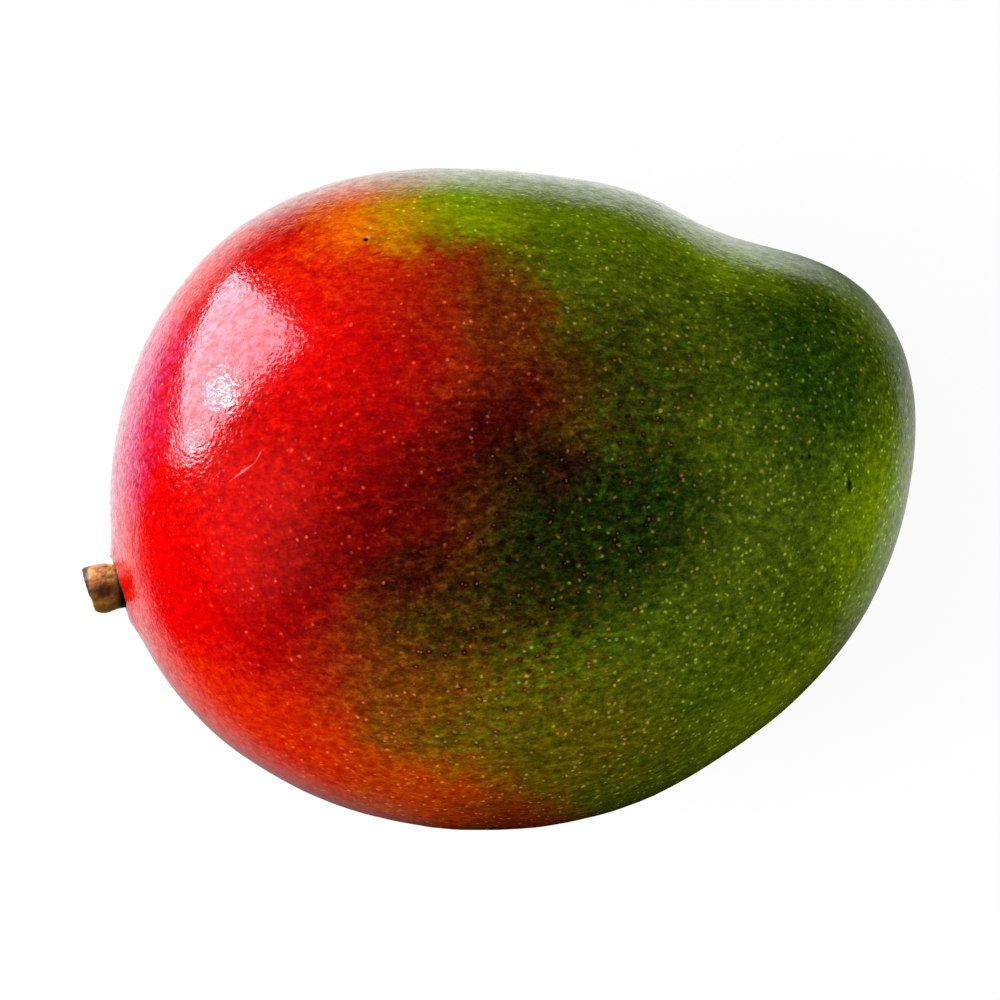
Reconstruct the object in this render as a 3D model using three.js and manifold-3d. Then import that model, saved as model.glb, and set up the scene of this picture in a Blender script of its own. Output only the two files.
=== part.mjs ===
// A ripe mango with the stub of its cut stalk, lying on one of its two broad cheeks.
//
// Frame: millimetres, +Z up. The origin is the middle of the small flat spot that the fruit rests on. +X runs
// along the fruit from the stalk end to the apex. +Y runs across it to the ventral edge, which has the
// shoulder, the sinus and the beak. The cheeks face up and down.
//
// The fruit is one solid. It starts as a plain ellipsoid, and every direction out of its middle gets a
// radius of its own: the ellipsoid's, with the bulges and hollows of the edge and of the cheeks added. The
// stalk is a second solid. Its root stands in a shallow socket in the fruit, the groove round a real stalk.

import * as THREE from "three";
import { mergeVertices } from "three/addons/utils/BufferGeometryUtils.js";
import Module from "manifold-3d";

const wasm = await Module();
wasm.setup();

// Driving dimensions, in millimetres and degrees. An azimuth is counted from +X towards +Y.
// With the bulges below, the fruit comes to 120 long, 98 across and 86 thick.
const LENGTH = 120;
const PLAIN_RADII = new THREE.Vector3(55.6, 46.4, 42.6); // the ellipsoid's, along, across and up
const PLAIN_TURN = -19; // azimuth of the ellipsoid's long axis
const TAPER = 0.06; // share by which the stalk end is thicker and the apex is thinner
const LEAN = 4; // because of the taper, the fruit's long axis dips this much towards the apex
const MIDDLE = new THREE.Vector3(3.8, 0.8, 42.3); // the flat spot is 0.6 deep into the lower cheek

const STALK_AZIMUTH = 189.5; // where the stalk leaves the fruit's edge
const STALK_AIM = 181; // azimuth that the stalk points to
const STALK_LENGTH = 5; // from the plain form of the fruit to the middle of the cut end
const STALK_RADIUS = 3.6; // at its thickest, half way out
const STALK_FOOT_RADIUS = 3.3; // in the socket
const STALK_TIP_RADIUS = 2.9;
const STALK_CUT_SLOPE = 13; // the cut end isn't square to the stalk
const ROOT_DEPTH = 3; // how far the stalk reaches under the skin
const ROOT_GAP = 0.3; // clear space round the root

// The edge of the fruit, seen square to the cheeks, over the plain ellipse: the azimuth of each bulge (+) or
// hollow (-), its height and its width in degrees. They fade out up and down the cheeks.
const EDGE_FORMS = {
  beak: { azimuth: 23.5, height: 11.4, width: 31 },
  sinus: { azimuth: 43.5, height: -5, width: 13.5 },
  ventralShoulder: { azimuth: 127, height: 2.4, width: 29 },
  stalkShoulder: { azimuth: 200, height: 4.1, width: 35 },
  dorsalBelly: { azimuth: 238.5, height: 4.2, width: 44 },
  dorsalHollow: { azimuth: 311, height: -1.8, width: 21.5 },
};

// The cheeks, over the form so far: the middle of each bulge or hollow, from the fruit's middle, with its
// height and radius. They fade out at the fruit's edge, and so leave its outline alone.
const CHEEK_FORMS = [
  { at: new THREE.Vector3(-36, 2, 34), height: 2.2, radius: 30 }, // full upper cheek at the stalk end
  { at: new THREE.Vector3(-36, -2, -34), height: 2.2, radius: 30 }, // and the lower one
  { at: new THREE.Vector3(35, 12, 31), height: -2, radius: 17 }, // the sinus runs on over the upper cheek
  { at: new THREE.Vector3(35, 17, -29), height: -1.2, radius: 20 }, // and over the lower one
  { at: new THREE.Vector3(4, -28, 34), height: -0.8, radius: 20 }, // a slight flat on the upper cheek
  { at: new THREE.Vector3(-6, 26, -34), height: -0.8, radius: 20 }, // and on the lower one
];

// The low collar of skin round the stalk.
const COLLAR_RADIUS = 4.5;
const COLLAR_WIDTH = 2;
const COLLAR_HEIGHT = 0.8;

// How finely the solids are cut into facets.
const FRUIT_SIDES = 80;
const FRUIT_RINGS = 54;
const RING_CROWDING = 1.55; // over 1, the rings lie closer together towards the stalk
const STALK_SIDES = 24;

const ACROSS = new THREE.Vector3(0, 1, 0);
const UP = new THREE.Vector3(0, 0, 1);

// A level unit vector.
function levelDirection(azimuth) {
  return new THREE.Vector3(1, 0, 0).applyAxisAngle(UP, THREE.MathUtils.degToRad(azimuth));
}

function bell(distance, width) {
  return Math.exp(-((distance / width) ** 2));
}

function plainRadius(direction) {
  const turned = direction.clone().applyAxisAngle(UP, -THREE.MathUtils.degToRad(PLAIN_TURN));
  return 1 / turned.divide(PLAIN_RADII).length();
}

function edgeHeight(direction) {
  const azimuth = THREE.MathUtils.radToDeg(Math.atan2(direction.y, direction.x));
  let height = 0;
  for (const form of Object.values(EDGE_FORMS)) {
    const offset = THREE.MathUtils.euclideanModulo(azimuth - form.azimuth + 180, 360) - 180;
    height += form.height * bell(offset, form.width);
  }
  return height * Math.hypot(direction.x, direction.y) ** 3;
}

function cheekHeight(direction, point) {
  let height = 0;
  for (const form of CHEEK_FORMS) {
    height += form.height * bell(point.distanceTo(form.at), form.radius);
  }
  return height * Math.abs(direction.z) ** 1.5;
}

// The point of the skin in a direction from the fruit's middle, without the collar.
function bareSkinPoint(direction) {
  const radius = plainRadius(direction) + edgeHeight(direction);
  const point = direction.clone().multiplyScalar(radius);
  point.addScaledVector(direction, cheekHeight(direction, point));
  point.z *= 1 - (TAPER * point.x) / (LENGTH / 2);
  point.applyAxisAngle(ACROSS, THREE.MathUtils.degToRad(LEAN));
  return point.add(MIDDLE);
}

const STALK_BASE = bareSkinPoint(levelDirection(STALK_AZIMUTH));
const STALK_DIRECTION = levelDirection(STALK_AIM);

function skinPoint(direction) {
  const point = bareSkinPoint(direction);
  const collarOffset = point.distanceTo(STALK_BASE) - COLLAR_RADIUS;
  return point.addScaledVector(STALK_DIRECTION, COLLAR_HEIGHT * bell(collarOffset, COLLAR_WIDTH));
}

// A closed three.js geometry as a manifold solid. The triangles that have shrunk to a line are left out.
function solidOf(geometry) {
  const bare = geometry.clone();
  bare.deleteAttribute("normal");
  bare.deleteAttribute("uv");
  const merged = mergeVertices(bare);
  const { array } = merged.index;
  const corners = [];
  for (let i = 0; i < array.length; i += 3) {
    const [a, b, c] = array.slice(i, i + 3);
    if (a !== b && b !== c && c !== a) corners.push(a, b, c);
  }
  return new wasm.Manifold(
    new wasm.Mesh({
      numProp: 3,
      vertProperties: new Float32Array(merged.attributes.position.array),
      triVerts: new Uint32Array(corners),
    }),
  );
}

function geometryOf(solid) {
  const { vertProperties, triVerts } = solid.getMesh();
  const geometry = new THREE.BufferGeometry();
  geometry.setAttribute("position", new THREE.BufferAttribute(vertProperties, 3));
  geometry.setIndex(new THREE.BufferAttribute(triVerts, 1));
  geometry.computeVertexNormals();
  return geometry;
}

// A solid turned about the stalk's axis from a profile of [radius, distance out of the skin].
function turnedOnStalk(profile, cutSlope = 0) {
  const points = profile.map(([radius, out]) => new THREE.Vector2(radius, out));
  const geometry = new THREE.LatheGeometry(points, STALK_SIDES);
  const position = geometry.attributes.position;
  const slope = Math.tan(THREE.MathUtils.degToRad(cutSlope));
  for (let i = 0; i < position.count; i += 1) {
    const share = Math.max(0, position.getY(i)) / STALK_LENGTH;
    position.setY(i, position.getY(i) + slope * share * position.getX(i));
  }
  const side = new THREE.Vector3().crossVectors(STALK_DIRECTION, UP);
  geometry.applyMatrix4(new THREE.Matrix4().makeBasis(side, STALK_DIRECTION, UP));
  geometry.translate(STALK_BASE.x, STALK_BASE.y, STALK_BASE.z);
  return geometry;
}

// A sphere with one pole at the stalk, whose every vertex is moved out to the skin.
function fruitForm() {
  const geometry = new THREE.SphereGeometry(1, FRUIT_SIDES, FRUIT_RINGS);
  const position = geometry.attributes.position;
  const toStalk = new THREE.Quaternion().setFromUnitVectors(
    new THREE.Vector3(0, 1, 0),
    levelDirection(STALK_AZIMUTH),
  );
  for (let i = 0; i < position.count; i += 1) {
    const onSphere = new THREE.Spherical().setFromVector3(
      new THREE.Vector3().fromBufferAttribute(position, i),
    );
    const ringAngle = Math.PI * (onSphere.phi / Math.PI) ** RING_CROWDING;
    const direction = new THREE.Vector3().setFromSphericalCoords(1, ringAngle, onSphere.theta);
    const point = skinPoint(direction.applyQuaternion(toStalk));
    position.setXYZ(i, point.x, point.y, point.z);
  }
  return geometry;
}

function makeFruit() {
  const below = new THREE.BoxGeometry(2 * LENGTH, 2 * LENGTH, LENGTH);
  below.translate(0, 0, -LENGTH / 2);
  const socketRadius = STALK_FOOT_RADIUS + ROOT_GAP;
  const socketFloor = -(ROOT_DEPTH + ROOT_GAP);
  const socket = turnedOnStalk([
    [0, socketFloor],
    [socketRadius, socketFloor],
    [socketRadius, STALK_LENGTH],
    [0, STALK_LENGTH],
  ]);
  const solid = solidOf(fruitForm()).subtract(solidOf(below)).subtract(solidOf(socket));
  const skin = new THREE.MeshStandardMaterial({ color: 0xa8402a, roughness: 0.4, metalness: 0 });
  const fruit = new THREE.Mesh(geometryOf(solid), skin);
  fruit.name = "fruit";
  return fruit;
}

function makeStalk() {
  const profile = [
    [0, -ROOT_DEPTH],
    [STALK_FOOT_RADIUS - 0.3, -ROOT_DEPTH],
    [STALK_FOOT_RADIUS, -0.5 * ROOT_DEPTH],
    [STALK_FOOT_RADIUS, 0],
    [STALK_RADIUS, 0.45 * STALK_LENGTH],
    [STALK_RADIUS, 0.75 * STALK_LENGTH],
    [STALK_TIP_RADIUS, STALK_LENGTH],
    [0, STALK_LENGTH],
  ];
  const bark = new THREE.MeshStandardMaterial({ color: 0x9a6a2c, roughness: 0.8, metalness: 0 });
  const geometry = geometryOf(solidOf(turnedOnStalk(profile, STALK_CUT_SLOPE)));
  const stalk = new THREE.Mesh(geometry, bark);
  stalk.name = "stalk";
  return stalk;
}

const mango = new THREE.Group();
mango.add(makeFruit(), makeStalk());

export default mango;
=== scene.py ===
import math

import bpy
from mathutils import Matrix, Vector


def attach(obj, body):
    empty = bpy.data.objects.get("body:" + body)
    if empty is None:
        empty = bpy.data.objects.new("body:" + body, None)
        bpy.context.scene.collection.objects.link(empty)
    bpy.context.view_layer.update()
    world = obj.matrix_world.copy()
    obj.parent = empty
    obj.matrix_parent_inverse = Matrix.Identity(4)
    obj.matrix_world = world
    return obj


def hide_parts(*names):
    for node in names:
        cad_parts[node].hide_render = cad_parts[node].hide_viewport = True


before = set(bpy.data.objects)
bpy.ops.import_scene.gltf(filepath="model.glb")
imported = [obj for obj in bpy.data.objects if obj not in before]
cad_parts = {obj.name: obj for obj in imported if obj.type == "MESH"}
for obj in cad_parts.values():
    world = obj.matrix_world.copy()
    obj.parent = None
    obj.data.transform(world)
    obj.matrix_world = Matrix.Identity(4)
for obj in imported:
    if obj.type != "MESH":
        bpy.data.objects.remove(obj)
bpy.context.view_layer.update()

# Camera. The mango lies on one cheek, and the camera looks straight down on the other one. The lens is long,
# so the outline shows with almost no perspective, and the picture is turned a little against the long axis.
FRUIT_MIDDLE = Vector((0.0038, 0.0008, 0.0423))
picture_centre = FRUIT_MIDDLE + Vector((-0.00073, -0.00115, 0.0))
camera_distance = 1.1
picture_width = 0.147
sensor_width = 36
camera_data = bpy.data.cameras.new("camera")
camera_data.sensor_width = sensor_width
camera_data.lens = sensor_width * camera_distance / picture_width
camera = bpy.data.objects.new("camera", camera_data)
camera.location = picture_centre + Vector((0, 0, camera_distance))
camera.rotation_euler = (0, 0, math.radians(-4.35))
bpy.context.scene.collection.objects.link(camera)
bpy.context.scene.camera = camera
bpy.context.scene.view_settings.view_transform = "Standard"


# Studio. The floor is a plain white sheet that glows from within, as on a light table. A low strip window
# stands beside the stalk end, square to the floor. Two softboxes and the pale room fill in the shadows, but
# they are flagged out of the reflections, as a polarising filter would do, so the colours stay deep.
def add_node(tree, kind, inputs=(), **settings):
    """Adds a shader node. Each input is a value, or an output of another node to link."""
    node = tree.nodes.new("ShaderNode" + kind)
    for name, value in settings.items():
        setattr(node, name, value)
    for socket, value in dict(inputs).items():
        if isinstance(value, bpy.types.NodeSocket):
            tree.links.new(value, node.inputs[socket])
        else:
            node.inputs[socket].default_value = value
    return node


def linear(hex_colour):
    """An sRGB hex colour as linear red, green, blue and alpha."""
    channels = [int(hex_colour[start : start + 2], 16) / 255 for start in (1, 3, 5)]
    return [c / 12.92 if c <= 0.04045 else ((c + 0.055) / 1.055) ** 2.4 for c in channels] + [1.0]


def new_material(name):
    """An empty material and its node tree."""
    material = bpy.data.materials.new(name)
    material.use_nodes = True
    material.node_tree.nodes.clear()
    return material, material.node_tree


bpy.ops.object.select_all(action="DESELECT")
bpy.ops.mesh.primitive_circle_add(vertices=96, radius=4, fill_type="NGON")
floor = bpy.context.object
floor.name = "floor"
paper, tree = new_material("white_paper_sheet")
place = add_node(tree, "TexCoord")
ray = add_node(tree, "LightPath")
# The sheet looks evenly white, but the neutral light that it throws on the fruit falls off away from it and is
# stronger on some sides, as if black cards flagged the rest: it is strong from the stalk end round the ventral
# edge, faint at the apex and towards the dorsal edge by the stalk, and off along the rest of the dorsal edge.
round_fruit = add_node(tree, "TexGradient", {"Vector": place.outputs["Object"]}, gradient_type="RADIAL")
open_side = add_node(tree, "ValToRGB", {"Fac": round_fruit.outputs["Fac"]})
# Azimuth, from -180 through 0 at the apex to 180, and the share of neutral white light that is let through.
OPEN_SHARES = {-180: 0.42, -145: 0.13, -100: 0, -34: 0, -4: 0.2, 32: 0.05, 50: 0.4, 180: 0.42}
stops = open_side.color_ramp.elements
for number, (azimuth, share) in enumerate(OPEN_SHARES.items()):
    stop = stops[number] if number < 2 else stops.new(1.0)
    stop.position = (azimuth + 180) / 360
    stop.color = (share, share, share, 1.0)
squeezed = add_node(tree, "Mapping", {
    "Vector": place.outputs["Object"],
    "Scale": (1.15, 1.0, 1.0),
}, vector_type="TEXTURE")
near_fruit = add_node(tree, "MapRange", {
    "Value": add_node(tree, "VectorMath", {0: squeezed.outputs["Vector"]}, operation="LENGTH").outputs["Value"],
    "From Min": 0.09,
    "From Max": 0.132,
    "To Min": 2.4,
    "To Max": 0.0,
}, interpolation_type="SMOOTHSTEP")
glow = add_node(tree, "Emission", {"Color": open_side.outputs["Color"], "Strength": near_fruit.outputs["Result"]})
sheet = add_node(tree, "BsdfPrincipled", {
    "Base Color": linear("#6C6C6C"),
    "Roughness": 0.8,
    "Specular IOR Level": 0.1,
    "Emission Color": linear("#FFFFFF"),
    "Emission Strength": 0.9,
})
looked_at = add_node(tree, "MixShader", {
    0: ray.outputs["Is Camera Ray"],
    1: glow.outputs["Emission"],
    2: sheet.outputs["BSDF"],
})
add_node(tree, "OutputMaterial", {"Surface": looked_at.outputs["Shader"]})
floor.data.materials.append(paper)


def add_softbox(name, location, width, height, radiance, turn=None, mirrored=False, tint="#FFFFFF"):
    """A rectangular light. It faces the fruit, unless a turn is given."""
    data = bpy.data.lights.new(name, "AREA")
    data.shape = "RECTANGLE"
    data.size = width
    data.size_y = height
    data.energy = radiance * math.pi * width * height
    data.color = linear(tint)[:3]
    softbox = bpy.data.objects.new(name, data)
    bpy.context.scene.collection.objects.link(softbox)
    softbox.location = location
    softbox.rotation_euler = turn or (softbox.location - FRUIT_MIDDLE).to_track_quat("Z", "Y").to_euler()
    softbox.visible_camera = False
    softbox.visible_glossy = mirrored


square_on = (math.radians(-90), 0, 0)
add_softbox(
    "strip_window", (-0.232, 0.09, 0.063), 0.316, 0.09, 8.8, turn=square_on, mirrored=True, tint="#ECEBFF"
)
add_softbox("near_lamp", (-0.158, 0.088, 0.086), 0.016, 0.03, 38, turn=square_on, mirrored=True)
add_softbox("far_lamp", (-0.304, 0.088, 0.073), 0.035, 0.035, 30, turn=square_on, mirrored=True)
add_softbox("left_fill", (-0.33, -0.03, 0.25), 0.3, 0.3, 4.0)
add_softbox("right_fill", (0.458, -0.121, 0.213), 0.4, 0.3, 1.8)

room = bpy.data.worlds.new("studio_room")
room.use_nodes = True
tree = room.node_tree
tree.nodes.clear()
ray = add_node(tree, "LightPath")
filling = add_node(tree, "Mix", {"Factor": ray.outputs["Is Glossy Ray"], "A": 0.48, "B": 0.02})
seen = add_node(tree, "Mix", {"Factor": ray.outputs["Is Camera Ray"], "A": filling.outputs["Result"], "B": 0.85})
sky = add_node(tree, "Background", {"Strength": seen.outputs["Result"]})
add_node(tree, "OutputWorld", {"Surface": sky.outputs["Background"]})
bpy.context.scene.world = room


# Fruit. Skin, flesh and stone grew as one body, so it is one closed mesh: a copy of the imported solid, whose
# facets are rounded off and remeshed finely, with the soft swells and dimples of a ripe mango's skin.
def apply_modifier(piece, kind, **settings):
    """Adds a modifier to a piece and applies it."""
    bpy.context.view_layer.objects.active = piece
    modifier = piece.modifiers.new(kind.title(), kind)
    for name, value in settings.items():
        setattr(modifier, name, value)
    bpy.ops.object.modifier_apply(modifier=modifier.name)


def cloud_relief(name, size, depth=1):
    """A cloud texture for Displace, with features of the size given in metres."""
    clouds = bpy.data.textures.new(name, "CLOUDS")
    clouds.noise_scale = size
    clouds.noise_depth = depth
    return clouds


bpy.ops.object.select_all(action="DESELECT")
fruit = bpy.data.objects.new("mango_skin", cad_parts["fruit"].data.copy())
bpy.context.scene.collection.objects.link(fruit)
fruit.select_set(True)
bpy.context.view_layer.objects.active = fruit
bpy.ops.object.mode_set(mode="EDIT")
bpy.ops.mesh.select_all(action="SELECT")
bpy.ops.mesh.remove_doubles(threshold=0.00001)
bpy.ops.object.mode_set(mode="OBJECT")
apply_modifier(fruit, "SUBSURF", levels=2, render_levels=2)
apply_modifier(fruit, "REMESH", mode="VOXEL", voxel_size=0.00072, use_smooth_shade=True)
apply_modifier(fruit, "SMOOTH", factor=0.5, iterations=10)
apply_modifier(fruit, "DISPLACE", texture=cloud_relief("swells", 0.014), strength=0.0003, mid_level=0.8)
apply_modifier(fruit, "DISPLACE", texture=cloud_relief("dimples", 0.0032), strength=0.00008, mid_level=0.8)

# The peel of a ripe mango: a thin translucent cuticle of natural wax over green peel with a red blush. The wax
# gives it a soft satin gloss that breaks up over the fine pits of the peel.
MM_PER_METRE = 1000.0
skin, tree = new_material("waxy_mango_peel")
place = add_node(tree, "TexCoord")
mm = add_node(tree, "VectorMath", {0: place.outputs["Object"], "Scale": MM_PER_METRE}, operation="SCALE")

# The borders of the colours wander: broadly, by about a millimetre over 6 mm, and finely, in flecks about 1 mm
# wide that lie along the fruit.
wander = add_node(tree, "TexNoise", {"Vector": mm.outputs["Vector"], "Scale": 1 / 6, "Detail": 1.0})
wandered = add_node(tree, "VectorMath", {
    0: wander.outputs["Color"],
    1: (7.0, 7.0, 4.0),
    2: mm.outputs["Vector"],
}, operation="MULTIPLY_ADD")
along_fruit = add_node(tree, "Mapping", {"Vector": mm.outputs["Vector"], "Scale": (0.65, 1.0, 1.0)})
flecks = add_node(tree, "TexNoise", {
    "Vector": along_fruit.outputs["Vector"],
    "Scale": 1 / 1.2,
    "Detail": 2.0,
    "Roughness": 0.7,
})
flecked = add_node(tree, "VectorMath", {
    0: flecks.outputs["Color"],
    1: (8.0, 8.0, 4.0),
    2: wandered.outputs["Vector"],
}, operation="MULTIPLY_ADD")
on_peel = add_node(tree, "VectorMath", {0: flecked.outputs["Vector"], 1: (7.5, 7.5, 4.0)}, operation="SUBTRACT")

# Each patch of colour: middle, radii and turn about the vertical, in millimetres and degrees, and the share of
# the radii that it covers fully before it fades. Later ones lie over earlier ones.
PEEL_PATCHES = [
    ("yellow_green_underside", "#747802", (4, 0, 0), (58, 44, 30), 0, 0.6),
    ("green_dorsal_edge", "#7C9002", (42, -36, 46), (24, 9, 36), 38, 0.2),
    ("light_green_sinus", "#A4C402", (39, 35, 50), (18, 10, 30), -20, 0.2),
    ("light_green_apex", "#88A402", (61, -12, 44), (13, 28, 44), 15, 0.3),
    ("deep_green_beak", "#2E4E02", (51, 15, 69), (15, 22, 22), 8, 0.15),
    ("light_beak_rim", "#7C9C1A", (55, 24, 38), (14, 20, 18), -30, 0.6),
    ("ochre_green_belly", "#6C6002", (6, -35, 64), (22, 13, 40), 0, 0.3),
    ("blush", "#B80300", (-38, 6, 48), (59, 46, 70), 22, 0.7),
    ("blush_ventral", "#D82600", (-15, 34, 62), (14, 9, 40), -10, 0.2),
    ("bright_red_stalk_end", "#D00000", (-44, -14, 48), (18, 20, 50), 0, 0.2),
    ("blush_dorsal", "#EC2C00", (-32, -34, 48), (26, 13, 50), -30, 0.3),
    ("orange_dorsal", "#DC4600", (-12, -43, 48), (19, 10, 40), -8, 0.2),
    ("rusty_dorsal_edge", "#903400", (2, -47, 46), (12, 6, 40), -4, 0.2),
    ("green_by_blush", "#667902", (20, 32, 68), (19, 12, 40), -38, 0.4),
    ("shaded_olive_cheek", "#454F02", (24, 16, 80), (14, 13, 30), -30, 0.3),
    ("fresh_green_ventral_edge", "#8EAC02", (19, 44, 50), (24, 12, 40), -8, 0.3),
    ("bright_blush", "#DC0400", (-22, 24, 70), (14, 12, 30), -20, 0.2),
    ("orange_ventral", "#FF7400", (-14, 42, 56), (9, 8, 36), 0, 0.2),
    ("yellow_ventral", "#DCA000", (-8, 42, 56), (7, 9, 36), 0, 0.2),
    ("lime_ventral", "#A8C602", (2, 43, 54), (10, 9, 36), 0, 0.2),
    ("deep_red_cheek", "#780400", (-14, -2, 82), (29, 12, 34), 40, 0.0),
    ("rusty_belly", "#8A4402", (-14, -27, 66), (8, 8, 34), -30, 0.1),
    ("brown_olive_cheek", "#4E3602", (-4, -16, 80), (21, 10, 30), 10, 0.3),
    ("maroon_cheek", "#520500", (3, 8, 82), (23, 11, 34), 46, 0.1),
    ("dark_olive_cheek", "#242C02", (13, -6, 84), (21, 16, 34), 10, 0.3),
    ("dark_green_cheek", "#243802", (24, -3, 84), (13, 12, 30), 0, 0.1),
    ("dark_rust_cheek", "#4A1602", (-10, -9, 80), (10, 6, 30), 10, 0.2),
    ("rusty_border", "#7A2E02", (6, 25, 72), (7, 8, 30), 0, 0.2),
    ("dark_border", "#301804", (11, 4, 84), (8, 6, 30), 30, 0.2),
    # Magenta at the stalk-end shoulder: partly the pinkish bloom of the wax, partly a painted reflection that
    # tints the rim and the window's highlight there towards violet.
    ("magenta_bloom_and_painted_rim_reflection", "#A42450", (-52, 16, 50), (9, 25, 42), -20, 0.3),
]
# Small marks with clean borders, in the same form.
MARKS = [
    # Painted shade: the skin in the groove round the stalk is coloured nearly black, where shade falls in the
    # recess.
    ("painted_shade_in_stalk_groove", "#2A0612", (-53.8, -8.8, 46.3), (6, 5, 5), 1, 0.85),
    ("pale_rim_of_pore", "#F0A070", (-12.9, 38.6, 69.4), (0.45, 0.45, 0.8), 0, 0.3),
    ("black_pore", "#1A0204", (-13.3, 38.3, 69.7), (0.4, 0.4, 0.6), 0, 0.5),
    ("scuff", "#E86060", (-33.2, 6.4, 78.4), (2.6, 0.17, 2), 31, 0.1),
    ("bend_of_scuff", "#E05050", (-30.7, 8.4, 79.6), (1.2, 0.15, 2), 55, 0.1),
    ("bruise", "#081004", (47.75, 2.66, 68.9), (0.3, 0.75, 1), 0, 0.1),
    ("small_bruise", "#142206", (46.7, 2.5, 69.6), (0.3, 0.45, 1), 0, 0.1),
    ("faint_bruise", "#22340A", (53.5, -2.1, 63.2), (0.5, 1.5, 2), 0, 0.2),
]
FADED_OUT = 1.25  # the share of its radii at which a patch is gone
colour = linear("#566A02")
for coordinates, patches in [(on_peel, PEEL_PATCHES), (mm, MARKS)]:
    for name, patch_colour, middle, radii, turn, core in patches:
        patch = add_node(tree, "Mapping", {
            "Vector": coordinates.outputs["Vector"],
            "Location": middle,
            "Rotation": (0, 0, math.radians(turn)),
            "Scale": radii,
        }, vector_type="TEXTURE", label=name)
        extent = add_node(tree, "VectorMath", {0: patch.outputs["Vector"]}, operation="LENGTH")
        if name == "blush":
            blush_extent = extent
        cover = add_node(tree, "MapRange", {
            "Value": extent.outputs["Value"],
            "From Min": core,
            "From Max": FADED_OUT,
            "To Min": 1.0,
            "To Max": 0.0,
        }, interpolation_type="SMOOTHSTEP")
        mixed = add_node(tree, "MixRGB", {
            "Fac": cover.outputs["Result"],
            "Color1": colour,
            "Color2": linear(patch_colour),
        })
        colour = mixed.outputs["Color"]

# The grain of the peel: short flecks from 1.3 mm down to a sixth of a millimetre. The lighter ones are a little
# less deep in colour too, so red turns towards orange and green towards yellow.
grain = add_node(tree, "TexNoise", {
    "Vector": along_fruit.outputs["Vector"],
    "Scale": 1 / 1.1,
    "Detail": 3.0,
    "Roughness": 0.85,
})
depth_of_colour = add_node(tree, "MapRange", {
    "Value": grain.outputs["Fac"],
    "From Min": 0.3,
    "From Max": 0.7,
    "To Min": 1.34,
    "To Max": 0.74,
})
deepened = add_node(tree, "Gamma", {"Color": colour, "Gamma": depth_of_colour.outputs["Result"]})
lightness = add_node(tree, "MapRange", {
    "Value": grain.outputs["Fac"],
    "From Min": 0.3,
    "From Max": 0.7,
    "To Min": 0.74,
    "To Max": 1.26,
})
grained = add_node(tree, "VectorMath", {
    0: deepened.outputs["Color"],
    "Scale": lightness.outputs["Result"],
}, operation="SCALE")

# On the belly of the cheek the peel is mottled with green, maroon and brown.
belly = add_node(tree, "Mapping", {
    "Vector": mm.outputs["Vector"],
    "Location": (9, -7, 75),
    "Scale": (38, 18, 40),
    "Rotation": (0, 0, math.radians(53)),
}, vector_type="TEXTURE")
ringed_share = add_node(tree, "MapRange", {
    "Value": add_node(tree, "VectorMath", {0: belly.outputs["Vector"]}, operation="LENGTH").outputs["Value"],
    "From Min": 0.5,
    "From Max": 1.15,
    "To Min": 0.3,
    "To Max": 0.0,
})
on_belly = add_node(tree, "Math", {
    0: ringed_share.outputs["Result"],
    1: 3.75,
}, operation="MULTIPLY", use_clamp=True)
mottle = add_node(tree, "VectorMath", {
    0: flecks.outputs["Color"],
    1: (2.4, 2.0, 2.0),
    2: (-1.2, -1.0, -1.0),
}, operation="MULTIPLY_ADD")
belly_mottle = add_node(tree, "VectorMath", {
    0: mottle.outputs["Vector"],
    "Scale": on_belly.outputs["Value"],
}, operation="SCALE")
mottled = add_node(tree, "VectorMath", {
    0: grained.outputs["Vector"],
    1: belly_mottle.outputs["Vector"],
    2: grained.outputs["Vector"],
}, operation="MULTIPLY_ADD")

# Lenticels, the breathing pores: pale corky dots about half a millimetre across. They are many in the green
# peel and few in the blush. On the belly of the cheek some lie in a dark reddish brown ring of 1 mm.
in_pores = add_node(tree, "VectorMath", {
    0: flecks.outputs["Color"],
    1: (0.7, 0.7, 0.7),
    2: mm.outputs["Vector"],
}, operation="MULTIPLY_ADD")
dots = add_node(tree, "TexVoronoi", {"Vector": in_pores.outputs["Vector"], "Scale": 1 / 1.22})
dot_lot = add_node(tree, "SeparateColor", {"Color": dots.outputs["Color"]})
ringed = add_node(tree, "Math", {
    0: ringed_share.outputs["Result"],
    1: dot_lot.outputs["Blue"],
}, operation="GREATER_THAN")
ring = add_node(tree, "MapRange", {
    "Value": dots.outputs["Distance"],
    "From Min": 0.25,
    "From Max": 0.6,
    "To Min": on_belly.outputs["Value"],
    "To Max": 0.0,
}, interpolation_type="SMOOTHSTEP")
ring_cover = add_node(tree, "Math", {
    0: ring.outputs["Result"],
    1: ringed.outputs["Value"],
}, operation="MULTIPLY")
spotted = add_node(tree, "MixRGB", {
    "Fac": ring_cover.outputs["Value"],
    "Color1": mottled.outputs["Vector"],
    "Color2": linear("#BE7C84"),
}, blend_type="MULTIPLY")
dot_share = add_node(tree, "MapRange", {
    "Value": blush_extent.outputs["Value"],
    "From Min": 0.75,
    "From Max": 1.15,
    "To Min": 0.26,
    "To Max": 0.98,
})
plain_share = add_node(tree, "Math", {
    0: on_belly.outputs["Value"],
    1: -0.35,
    2: dot_share.outputs["Result"],
}, operation="MULTIPLY_ADD")
pale_share = add_node(tree, "Math", {
    0: ringed.outputs["Value"],
    1: 0.9,
    2: plain_share.outputs["Value"],
}, operation="MULTIPLY_ADD")
dot_strength = add_node(tree, "Math", {
    0: add_node(tree, "Math", {
        0: pale_share.outputs["Value"],
        1: dot_lot.outputs["Red"],
    }, operation="SUBTRACT").outputs["Value"],
    1: 3.0,
}, operation="MULTIPLY", use_clamp=True)
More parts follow.
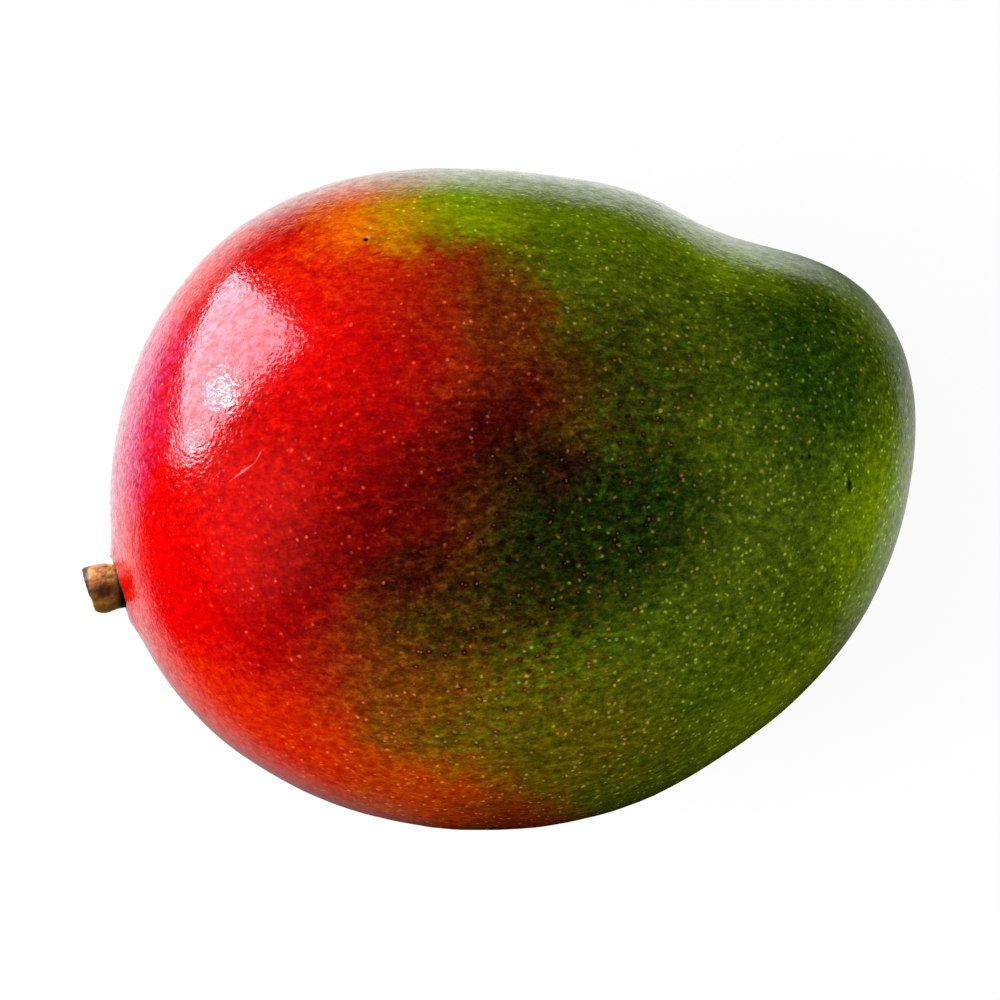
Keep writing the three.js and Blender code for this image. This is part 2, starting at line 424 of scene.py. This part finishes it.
dot = add_node(tree, "MapRange", {
    "Value": add_node(tree, "Math", {
        0: ring_cover.outputs["Value"],
        1: 0.09,
        2: dots.outputs["Distance"],
    }, operation="MULTIPLY_ADD").outputs["Value"],
    "From Min": 0.09,
    "From Max": 0.3,
    "To Min": 1.0,
    "To Max": 0.0,
}, interpolation_type="SMOOTHSTEP")
dot_cover = add_node(tree, "Math", {
    0: dot.outputs["Result"],
    1: dot_strength.outputs["Value"],
}, operation="MULTIPLY")
rusty = add_node(tree, "MapRange", {
    "Value": add_node(tree, "Math", {
        0: blush_extent.outputs["Value"],
        1: dot_lot.outputs["Green"],
    }, operation="ADD").outputs["Value"],
    "From Min": 1.6,
    "From Max": 1.85,
    "To Min": 1.0,
    "To Max": 0.0,
})
cork = add_node(tree, "MixRGB", {
    "Fac": rusty.outputs["Result"],
    "Color1": linear("#75693E"),
    "Color2": linear("#8C4C34"),
})
ring_cork = add_node(tree, "MixRGB", {
    "Fac": ringed.outputs["Value"],
    "Color1": cork.outputs["Color"],
    "Color2": linear("#8E6258"),
})
corky = add_node(tree, "VectorMath", {
    0: spotted.outputs["Color"],
    1: (2.4, 2.4, 2.4),
    2: ring_cork.outputs["Color"],
}, operation="MULTIPLY_ADD")
dotted = add_node(tree, "MixRGB", {
    "Fac": dot_cover.outputs["Value"],
    "Color1": spotted.outputs["Color"],
    "Color2": corky.outputs["Vector"],
}, use_clamp=True)

# The wax lies thicker on some flecks than on others, and its gloss breaks up over pits half a millimetre wide.
wax_cover = add_node(tree, "MapRange", {
    "Value": add_node(tree, "Math", {
        0: grain.outputs["Fac"],
        1: flecks.outputs["Fac"],
    }, operation="ADD").outputs["Value"],
    "From Min": 0.84,
    "From Max": 1.12,
    "To Min": 0.2,
    "To Max": 1.0,
})
pits = add_node(tree, "TexNoise", {"Vector": mm.outputs["Vector"], "Scale": 1 / 0.6, "Detail": 1.0})
pitted = add_node(tree, "Bump", {"Height": pits.outputs["Fac"], "Distance": 0.00006, "Strength": 1.0})
pore = add_node(tree, "Math", {0: dot.outputs["Result"], 1: 0.25, 2: 0.13}, operation="MULTIPLY_ADD")

wax = add_node(tree, "BsdfPrincipled", {
    "Base Color": dotted.outputs["Color"],
    "Roughness": pore.outputs["Value"],
    "IOR": 1.33,
    "Coat Weight": wax_cover.outputs["Result"],
    "Coat Roughness": 0.12,
    "Coat IOR": 1.33,
    "Coat Normal": pitted.outputs["Normal"],
    "Normal": pitted.outputs["Normal"],
})
add_node(tree, "OutputMaterial", {"Surface": wax.outputs["BSDF"]})
fruit.data.materials.clear()
fruit.data.materials.append(skin)
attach(fruit, "root")
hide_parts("fruit")


# Stalk. The woody stub that the fruit hung from, snipped off at a slant. It stands in its groove in the skin,
# has thin rough bark, and shows darker wood and a small pith at the cut.
STALK_FOOT = Vector((-0.05328, -0.00877, 0.04629))
stalk_turn = math.radians(181)
outward = Vector((math.cos(stalk_turn), math.sin(stalk_turn), 0))
bpy.ops.object.select_all(action="DESELECT")
bpy.ops.mesh.primitive_circle_add(
    vertices=24,
    radius=0.0034,
    fill_type="NGON",
    location=STALK_FOOT - 0.0029 * outward,
    rotation=(0, math.radians(90), stalk_turn),
)
stalk = bpy.context.object
stalk.name = "stalk_stub"
bpy.ops.object.mode_set(mode="EDIT")
bpy.ops.mesh.select_all(action="SELECT")
reach = -0.0029
for step, widening in [
    (0.0015, 1.0), (0.0014, 0.94), (0.0010, 1.08), (0.0010, 1.07), (0.0012, 1.0), (0.0012, 0.95), (0.0014, 0.9),
]:
    reach += step
    bpy.ops.mesh.extrude_region_move(TRANSFORM_OT_translate={"value": step * outward})
    bpy.ops.transform.resize(value=(widening,) * 3, center_override=STALK_FOOT + reach * outward)
cut_facing = outward.copy()
cut_facing.rotate(Matrix.Rotation(math.radians(13), 3, "Z"))
bpy.ops.mesh.select_all(action="SELECT")
bpy.ops.mesh.bisect(
    plane_co=STALK_FOOT + 0.0048 * outward,
    plane_no=cut_facing,
    use_fill=True,
    clear_outer=True,
)
bpy.ops.object.mode_set(mode="OBJECT")
bpy.ops.object.transform_apply(location=True, rotation=True, scale=True)
for vertex in stalk.data.vertices:
    vertex.select = False
for edge in stalk.data.edges:
    edge.select = False
for face in stalk.data.polygons:
    face.select = face.normal.dot(cut_facing) > 0.999
bpy.ops.object.mode_set(mode="EDIT")
bpy.ops.mesh.select_mode(type="FACE")
bpy.ops.mesh.inset(thickness=0.0006)
bpy.ops.mesh.inset(thickness=0.0003, depth=-0.0002)
bpy.ops.mesh.inset(thickness=0.0011)
bpy.ops.mesh.inset(thickness=0.0004, depth=-0.00025)
bpy.ops.mesh.select_all(action="SELECT")
bpy.ops.mesh.normals_make_consistent(inside=False)
bpy.ops.object.mode_set(mode="OBJECT")
apply_modifier(stalk, "SUBSURF", levels=3, render_levels=3)
apply_modifier(stalk, "DISPLACE", texture=cloud_relief("bark_lumps", 0.0016), strength=0.0003, mid_level=0.7)
apply_modifier(stalk, "DISPLACE", texture=cloud_relief("bark_grain", 0.0005), strength=0.00012, mid_level=0.7)
bpy.ops.object.shade_smooth()
stalk.data.materials.clear()

# Weathered mango wood bark: ochre and tan where it is worn, brown in the streaks between and nearly black at the
# cut, with painted shade nearly black at the foot, down in the groove.
bark, tree = new_material("weathered_mango_bark")
place = add_node(tree, "TexCoord")
mm = add_node(tree, "VectorMath", {0: place.outputs["Object"], "Scale": MM_PER_METRE}, operation="SCALE")
on_stalk = add_node(tree, "Mapping", {
    "Vector": mm.outputs["Vector"],
    "Location": MM_PER_METRE * STALK_FOOT,
    "Rotation": (0, 0, stalk_turn),
}, vector_type="TEXTURE")
lengthwise = add_node(tree, "Mapping", {"Vector": on_stalk.outputs["Vector"], "Scale": (0.45, 1.0, 1.0)})
streaks = add_node(tree, "TexNoise", {"Vector": lengthwise.outputs["Vector"], "Scale": 1 / 0.9, "Detail": 3.0})
worn = add_node(tree, "ValToRGB", {"Fac": streaks.outputs["Fac"]})
worn.color_ramp.elements[0].position = 0.3
worn.color_ramp.elements[0].color = linear("#5A2C06")
worn.color_ramp.elements[1].position = 0.7
worn.color_ramp.elements[1].color = linear("#DC9A48")
middle_tone = worn.color_ramp.elements.new(0.5)
middle_tone.color = linear("#B26E1A")
bark_colour = worn.outputs["Color"]
# The bark is darker on one side, its foot in the groove is painted dark as shade, and a dry brown rim runs round
# the cut.
for name, zone_colour, middle, radii, core in [
    ("brown_side", "#4A2204", (2.5, 0.4, 3.5), (3.2, 1.9, 3), 0.2),
    ("olive_side", "#7A5A0C", (2.5, 3, 2), (4, 1.6, 4), 0.2),
    # Painted shade: the foot of the stalk, down in the groove, is coloured nearly black.
    ("painted_shade_at_stalk_foot", "#1C0808", (-0.6, 0, 0), (1.5, 6, 6), 0.6),
    ("rim_of_cut", "#2A1610", (5, 0, 0), (0.7, 6, 6), 0.6),
]:
    zone = add_node(tree, "Mapping", {
        "Vector": on_stalk.outputs["Vector"],
        "Location": middle,
        "Scale": radii,
    }, vector_type="TEXTURE", label=name)
    cover = add_node(tree, "MapRange", {
        "Value": add_node(tree, "VectorMath", {0: zone.outputs["Vector"]}, operation="LENGTH").outputs["Value"],
        "From Min": core,
        "From Max": FADED_OUT,
        "To Min": 1.0,
        "To Max": 0.0,
    }, interpolation_type="SMOOTHSTEP")
    zoned = add_node(tree, "MixRGB", {
        "Fac": cover.outputs["Result"],
        "Color1": bark_colour,
        "Color2": linear(zone_colour),
    })
    bark_colour = zoned.outputs["Color"]
wood = add_node(tree, "BsdfPrincipled", {"Base Color": bark_colour, "Roughness": 0.5})
add_node(tree, "OutputMaterial", {"Surface": wood.outputs["BSDF"]})
stalk.data.materials.append(bark)
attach(stalk, "root")
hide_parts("stalk")
